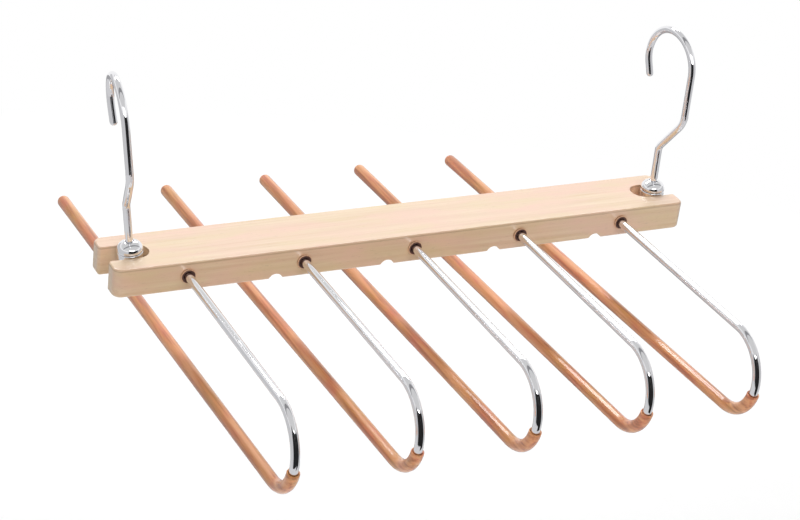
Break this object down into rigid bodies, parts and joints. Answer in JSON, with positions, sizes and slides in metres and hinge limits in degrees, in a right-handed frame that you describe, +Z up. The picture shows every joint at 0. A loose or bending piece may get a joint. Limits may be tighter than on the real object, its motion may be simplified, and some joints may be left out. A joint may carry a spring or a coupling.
{
  "type": "trouser hanger",
  "caption": "Wooden beam with a swivel hook at each end and a row of swing-out looped arms in soft sleeves, for hanging trousers side by side.",
  "frame": {"origin": "over the middle of the beam, on the line where the inside of both crowns rests on the rod", "axes": "+X along the beam to the right, +Y to the back, away from the arm loops, +Z up"},
  "size_m": [0.3372, 0.3427, 0.1643],
  "materials": {
    "varnished_wood": "clear satin varnish",
    "bright_chrome": "polished",
    "plain_steel": "plain",
    "copper_sleeve": "satin",
    "brown_bushing": "satin"
  },
  "bodies": {
    "beam": {"beam": "varnished_wood", "arm_1_bushing": "brown_bushing", "arm_2_bushing": "brown_bushing", "arm_3_bushing": "brown_bushing", "arm_4_bushing": "brown_bushing", "arm_5_bushing": "brown_bushing", "left_pivot_pin": "plain_steel", "right_pivot_pin": "plain_steel"},
    "arm_1": {"arm_1_wire": "bright_chrome", "arm_1_sleeve": "copper_sleeve", "arm_1_collar": "plain_steel"},
    "arm_2": {"arm_2_wire": "bright_chrome", "arm_2_sleeve": "copper_sleeve", "arm_2_collar": "plain_steel"},
    "arm_3": {"arm_3_wire": "bright_chrome", "arm_3_sleeve": "copper_sleeve", "arm_3_collar": "plain_steel"},
    "arm_4": {"arm_4_wire": "bright_chrome", "arm_4_sleeve": "copper_sleeve", "arm_4_collar": "plain_steel"},
    "arm_5": {"arm_5_wire": "bright_chrome", "arm_5_sleeve": "copper_sleeve", "arm_5_collar": "plain_steel"},
    "left_swivel": {"left_swivel_block": "bright_chrome", "left_swivel_cap": "bright_chrome"},
    "left_hook": {"left_hook_wire": "bright_chrome", "left_stem_washer": "plain_steel"},
    "right_swivel": {"right_swivel_block": "bright_chrome", "right_swivel_cap": "bright_chrome"},
    "right_hook": {"right_hook_wire": "bright_chrome", "right_stem_washer": "plain_steel"}
  },
  "joints": [
    {"name": "arm_1_swing", "type": "hinge", "parent": "beam", "child": "arm_1", "pos_m": [-0.1291, 0, -0.1016], "axis": [0, -1, 0], "range_deg": [-125, 78.5]},
    {"name": "arm_2_swing", "type": "hinge", "parent": "beam", "child": "arm_2", "pos_m": [-0.0651, 0, -0.1016], "axis": [0, -1, 0], "range_deg": [-75.5, 78.5]},
    {"name": "arm_3_swing", "type": "hinge", "parent": "beam", "child": "arm_3", "pos_m": [-0.0011, 0, -0.1016], "axis": [0, -1, 0], "range_deg": [-75.5, 78.5]},
    {"name": "arm_4_swing", "type": "hinge", "parent": "beam", "child": "arm_4", "pos_m": [0.0629, 0, -0.1016], "axis": [0, -1, 0], "range_deg": [-75.5, 78.5]},
    {"name": "arm_5_swing", "type": "hinge", "parent": "beam", "child": "arm_5", "pos_m": [0.1269, 0, -0.1016], "axis": [0, -1, 0], "range_deg": [-75.5, 125]},
    {"name": "left_hook_tilt", "type": "hinge", "parent": "beam", "child": "left_swivel", "pos_m": [-0.1529, 0, -0.1016], "axis": [0, -1, 0], "range_deg": [-19.5, 82.5]},
    {"name": "left_hook_swivel", "type": "hinge", "parent": "left_swivel", "child": "left_hook", "pos_m": [-0.1529, 0, -0.1016], "axis": [-0.1305, 0, 0.9914], "continuous": true},
    {"name": "right_hook_tilt", "type": "hinge", "parent": "beam", "child": "right_swivel", "pos_m": [0.1579, 0, -0.1016], "axis": [0, -1, 0], "range_deg": [-91.7, 43.3]},
    {"name": "right_hook_swivel", "type": "hinge", "parent": "right_swivel", "child": "right_hook", "pos_m": [0.1579, 0, -0.1016], "axis": [-0.0297, 0, 0.9996], "continuous": true}
  ]
}
